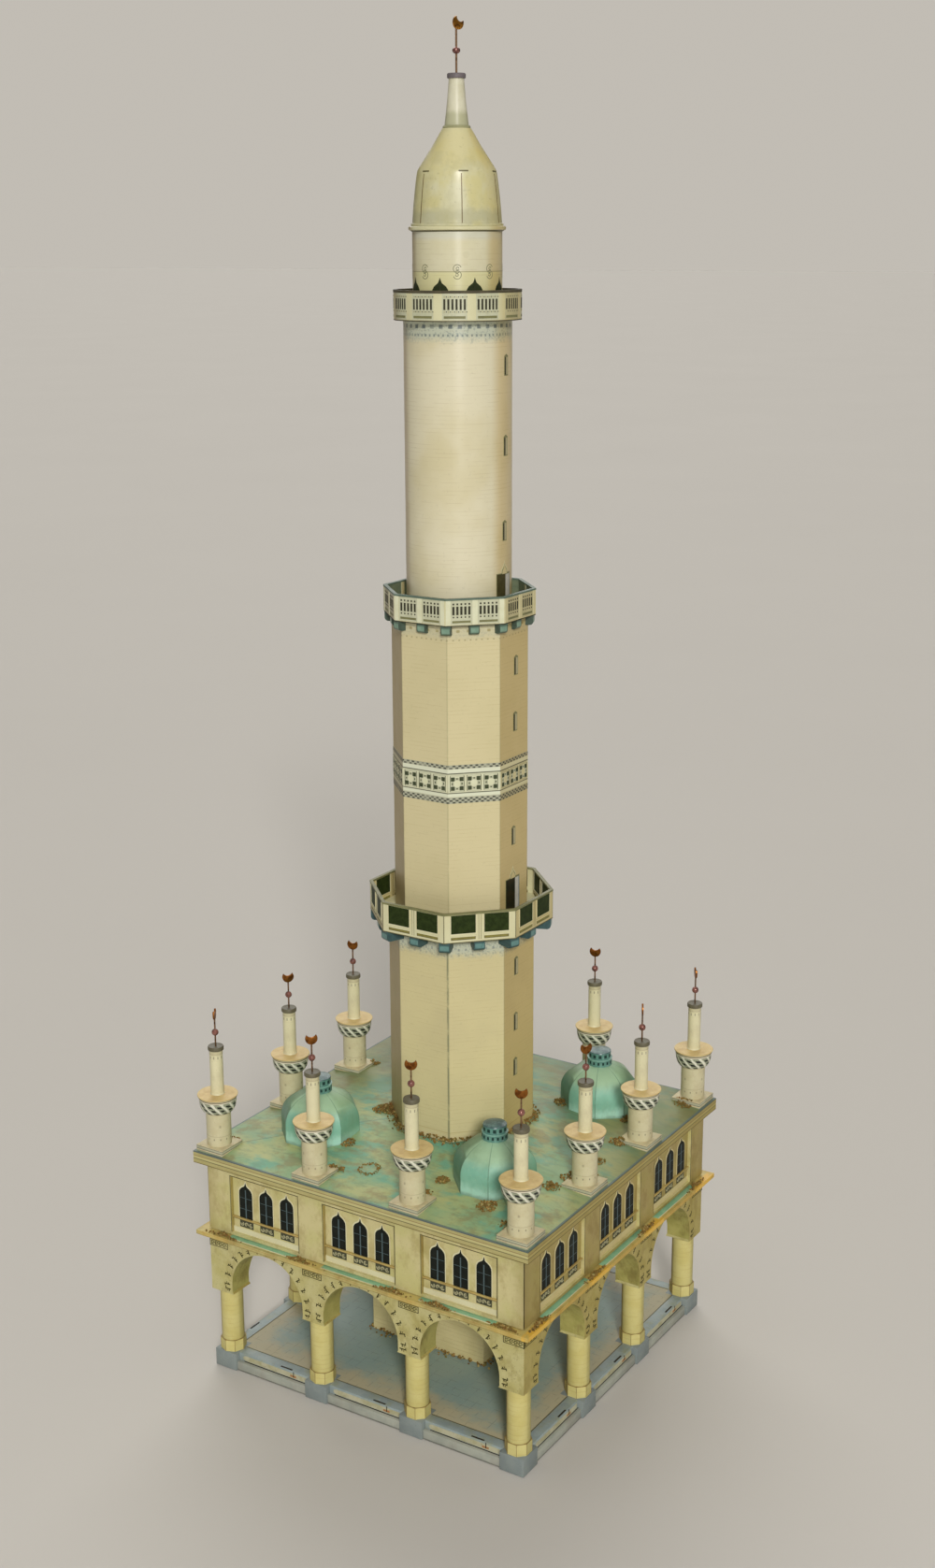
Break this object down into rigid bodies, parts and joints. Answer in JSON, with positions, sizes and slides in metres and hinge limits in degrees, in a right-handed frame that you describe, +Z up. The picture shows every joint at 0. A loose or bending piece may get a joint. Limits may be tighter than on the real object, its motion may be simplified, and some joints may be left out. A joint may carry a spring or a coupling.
{
  "type": "card model of a minaret",
  "caption": "Card model of a minaret: a slender tower, octagonal then round, with three galleries, a dome and a crescent, on a square arcaded base with turrets and small domes.",
  "frame": {"origin": "middle of the underside of the plinth, on the surface that the model stands on", "axes": "+Z up the tower, -Y the front side, +X the side with the gallery doors"},
  "size_m": [0.1248, 0.1248, 0.417],
  "materials": {
    "cream_card": "matt printed card",
    "yellow_card": "matt printed card",
    "blue_grey_card": "matt printed card",
    "ochre_card": "matt printed card",
    "verdigris_card": "matt printed card",
    "aqua_card": "matt printed card",
    "brass_wire": "satin metal"
  },
  "bodies": {
    "root": {"arcade_wall_back": "cream_card", "arcade_wall_front": "cream_card", "arcade_wall_left": "cream_card", "arcade_wall_right": "cream_card", "column_back_1": "yellow_card", "column_back_2": "yellow_card", "column_back_3": "yellow_card", "column_back_4": "yellow_card", "column_front_1": "yellow_card", "column_front_2": "yellow_card", "column_front_3": "yellow_card", "column_front_4": "yellow_card", "column_left_2": "yellow_card", "column_left_3": "yellow_card", "column_right_2": "yellow_card", "column_right_3": "yellow_card", "dome_cornice": "cream_card", "finial": "brass_wire", "gallery_1": "cream_card", "gallery_2": "cream_card", "gallery_3": "cream_card", "lantern_drum": "cream_card", "ledge": "ochre_card", "main_dome": "yellow_card", "plinth": "blue_grey_card", "roof": "verdigris_card", "roof_dome_back_left": "aqua_card", "roof_dome_back_right": "aqua_card", "roof_dome_front_left": "aqua_card", "roof_dome_front_right": "aqua_card", "shaft_lower": "cream_card", "shaft_middle": "cream_card", "shaft_upper": "cream_card", "storey_wall_back": "cream_card", "storey_wall_front": "cream_card", "storey_wall_left": "cream_card", "storey_wall_right": "cream_card", "tower_core": "cream_card", "turret_back_1": "cream_card", "turret_back_2": "cream_card", "turret_back_3": "cream_card", "turret_back_4": "cream_card", "turret_front_1": "cream_card", "turret_front_2": "cream_card", "turret_front_3": "cream_card", "turret_front_4": "cream_card", "turret_left_2": "cream_card", "turret_left_3": "cream_card", "turret_right_2": "cream_card", "turret_right_3": "cream_card"}
  },
  "joints": []
}
